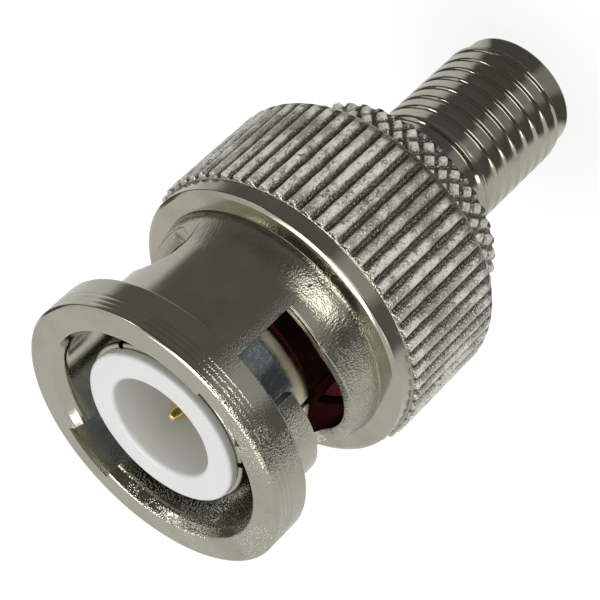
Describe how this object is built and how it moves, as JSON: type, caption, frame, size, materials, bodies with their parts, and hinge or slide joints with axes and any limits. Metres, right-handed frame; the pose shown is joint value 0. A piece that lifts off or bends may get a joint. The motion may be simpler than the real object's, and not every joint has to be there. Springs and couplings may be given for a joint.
{
  "type": "bnc to sma adapter",
  "caption": "Coaxial adapter with a bayonet plug and knurled coupling nut on one end and a threaded jack on the other, joining two kinds of radio cable connector.",
  "frame": {"origin": "centre of the open end face of the SMA jack, on which the adapter stands; bottom centre of the bounding box", "axes": "+Z along the common axis from the SMA jack to the BNC mouth; -Y is the side that the picture looks at"},
  "size_m": [0.0142, 0.0142, 0.0258],
  "materials": {
    "nickel_body": "bright nickel plating on turned brass",
    "nickel_nut": "bright nickel plating on a die casting",
    "nickel_contact": "bright nickel plating",
    "white_insulator": "waxy white fluoropolymer",
    "gold_contact": "thin gold plating",
    "red_silicone": "satin dark red silicone",
    "spring_steel": "satin spring steel"
  },
  "bodies": {
    "adapter_body": {"main_body": "nickel_body", "outer_contact": "nickel_contact", "bnc_insulator": "white_insulator", "bnc_pin": "gold_contact", "sma_insulator": "white_insulator", "sma_socket": "gold_contact", "gasket": "red_silicone", "wave_washer": "spring_steel"},
    "slide_washer": {"thrust_washer": "spring_steel"},
    "coupling": {"coupling_nut": "nickel_nut", "retaining_ring": "spring_steel"}
  },
  "joints": [
    {"name": "coupling_travel", "type": "slide", "parent": "adapter_body", "child": "slide_washer", "axis": [0, 0, 1], "range_m": [0, 0.00055], "stiffness_N_per_m": 3000, "springref_m": -0.0005, "deforming": ["wave_washer"]},
    {"name": "coupling_turn", "type": "hinge", "parent": "slide_washer", "child": "coupling", "pos_m": [0, 0, 0.0185], "axis": [0, 0, 1], "continuous": true}
  ]
}
